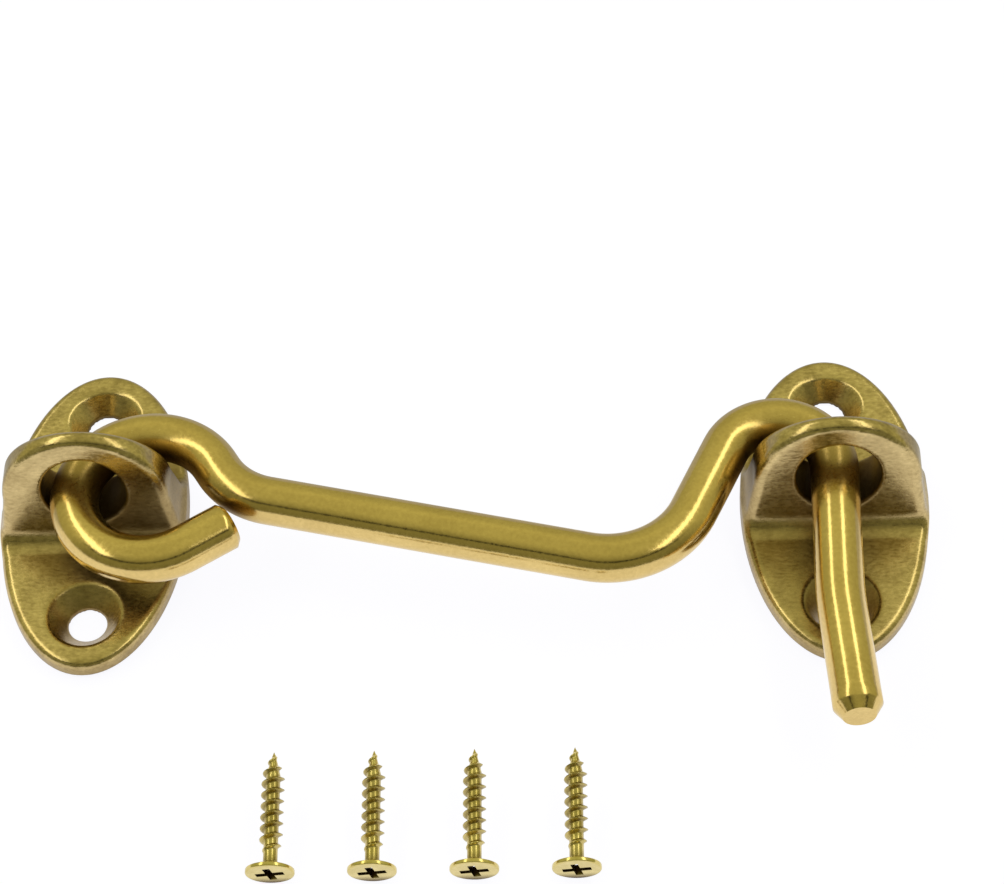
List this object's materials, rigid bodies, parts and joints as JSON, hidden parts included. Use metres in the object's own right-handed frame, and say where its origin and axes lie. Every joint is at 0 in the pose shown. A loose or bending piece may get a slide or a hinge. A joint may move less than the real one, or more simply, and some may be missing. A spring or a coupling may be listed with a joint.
{
  "type": "hook and eye latch",
  "caption": "Brass cabin hook latch: a bent rod hook hangs by its ring in a lugged oval eye plate and drops its long peg through a matching keeper plate.",
  "frame": {"origin": "middle of the back of the eye plate", "axes": "+Z out of the mounting face, +X from the eye plate to the keeper plate, +Y up when the latch is screwed to a door"},
  "size_m": [0.1168, 0.0743, 0.02],
  "materials": {
    "cast_brass": "satin cast brass with fine grain",
    "drawn_brass": "polished drawn brass rod",
    "plated_brass": "bright brass plating"
  },
  "bodies": {
    "eye": {"eye_plate": "cast_brass", "wood_screw_1": "plated_brass", "wood_screw_2": "plated_brass", "wood_screw_3": "plated_brass", "wood_screw_4": "plated_brass"},
    "hook": {"hook": "drawn_brass"},
    "keeper": {"keeper_plate": "cast_brass"}
  },
  "joints": [
    {"name": "hook_lift", "type": "hinge", "parent": "eye", "child": "hook", "pos_m": [0.00795, -0.00239, 0.0099], "axis": [0, 0, 1], "range_deg": [0, 110]},
    {"name": "keeper_release", "type": "slide", "parent": "hook", "child": "keeper", "axis": [0, -1, 0], "range_m": [0, 0.045]}
  ]
}
